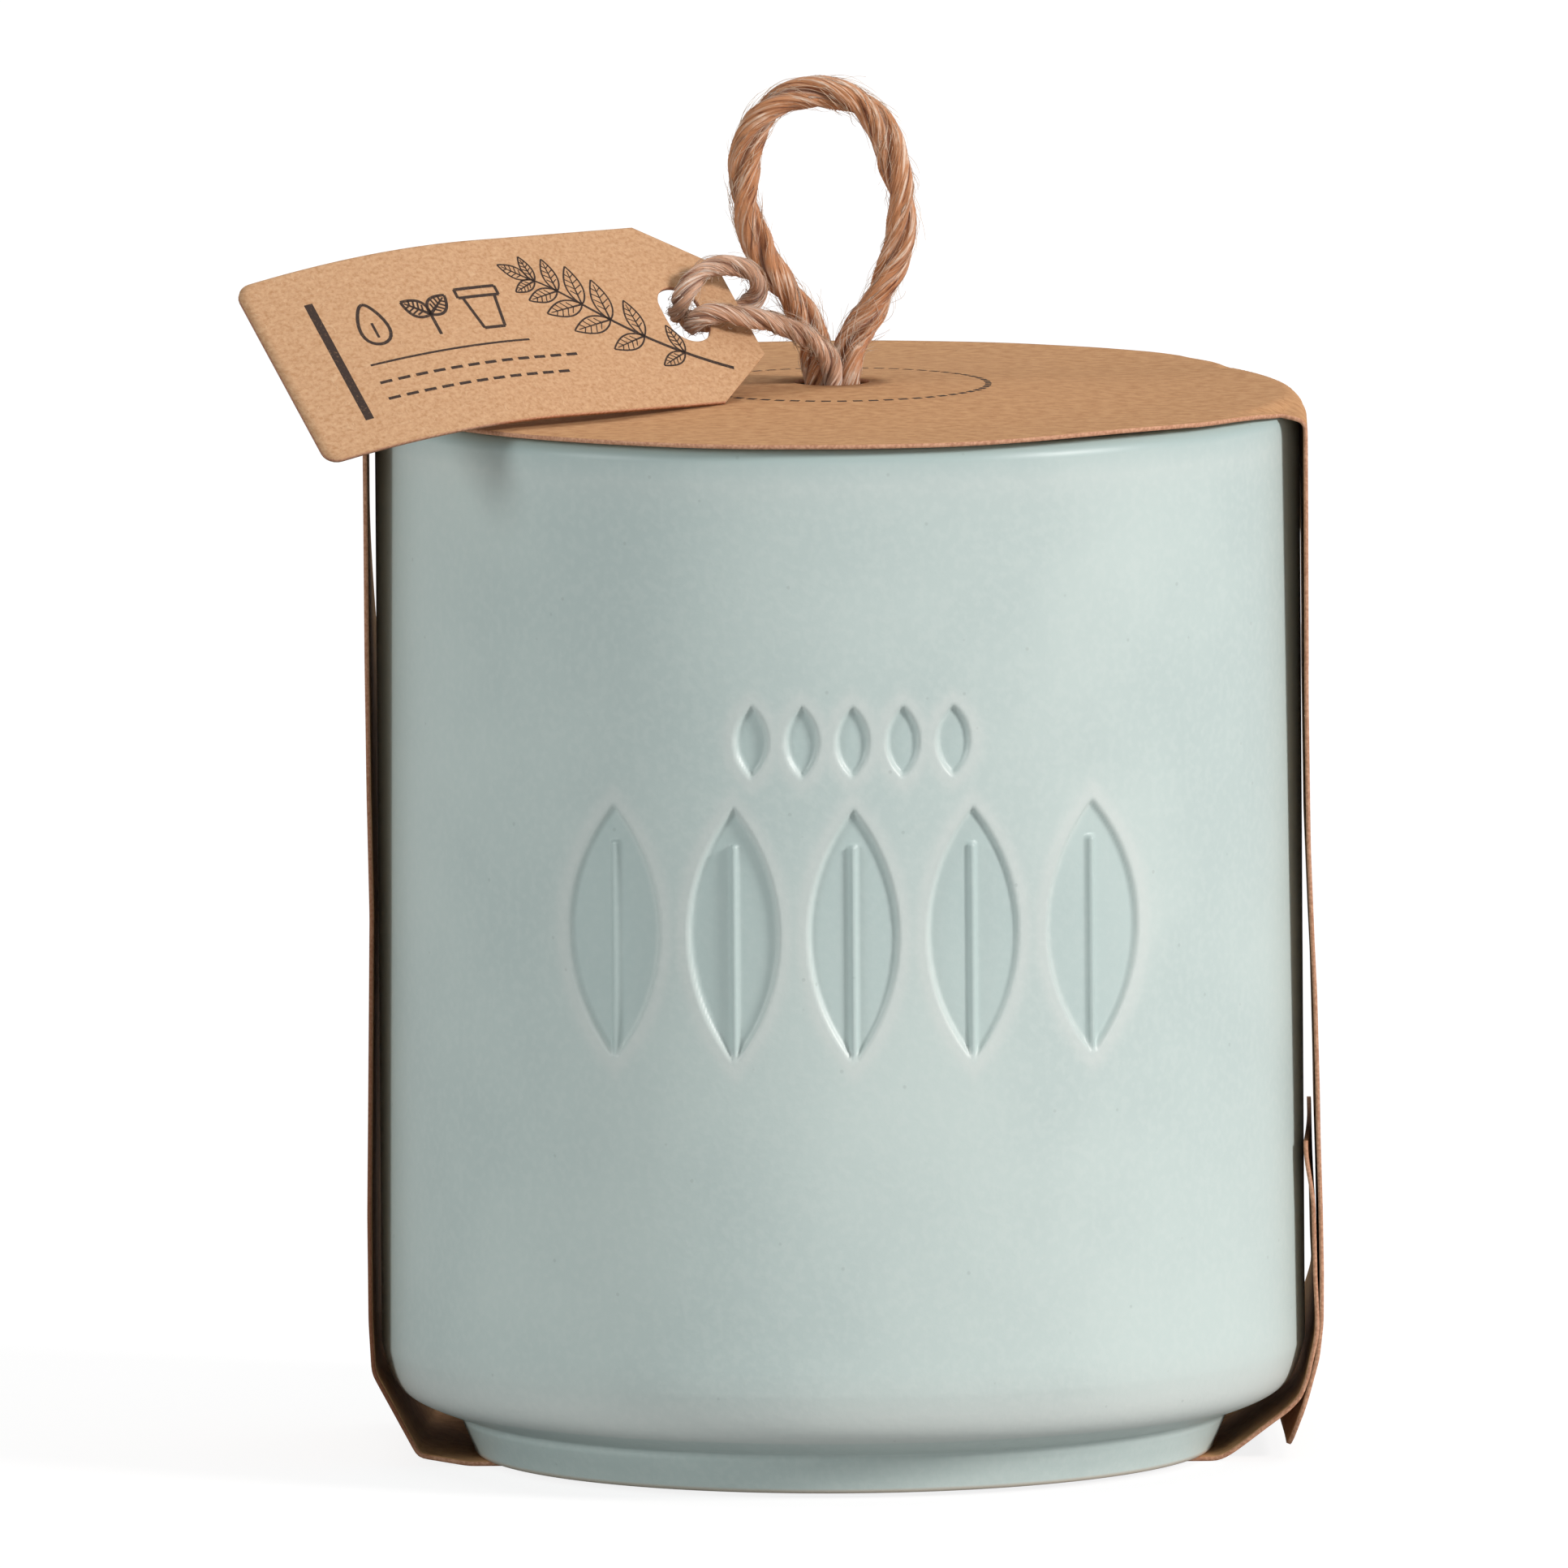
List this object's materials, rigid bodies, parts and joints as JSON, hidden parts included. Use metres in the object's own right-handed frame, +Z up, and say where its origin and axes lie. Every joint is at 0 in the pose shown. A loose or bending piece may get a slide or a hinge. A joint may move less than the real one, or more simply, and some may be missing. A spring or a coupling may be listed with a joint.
{
  "type": "herb growing kit",
  "caption": "Glazed cylindrical pot in a folded card sleeve with a twine loop, a card tag on a string, and dry growing supplies packed inside.",
  "frame": {"origin": "under the sleeve's bottom panel, on the pot's axis, on the surface the kit stands on", "axes": "+Z up along the pot's axis; -Y is the front, where the sleeve leaves the pot's face open; +X is the side with the sleeve's glued lap and free tab"},
  "size_m": [0.1393, 0.121, 0.179],
  "materials": {
    "pot_glaze": "glossy pale grey-green glaze, softly uneven",
    "sleeve_card": "uncoated brown card with fine fibres running across",
    "jute_twine": "twisted jute twine, hairy",
    "tag_string": "pale twisted string, fuzzy",
    "tag_card": "uncoated brown card with plain dark brown printed rules",
    "pressed_soil": "dry pressed plant-fibre growing medium",
    "packet_paper": "folded brown paper packet",
    "leaflet_paper": "folded white paper"
  },
  "bodies": {
    "root": {"pot": "pot_glaze", "card_sleeve": "sleeve_card", "twine_loop": "jute_twine", "twine_knot": "jute_twine", "tag_string": "tag_string", "tag": "tag_card", "soil_disc": "pressed_soil", "seed_packet": "packet_paper", "instruction_leaflet": "leaflet_paper"}
  },
  "joints": []
}
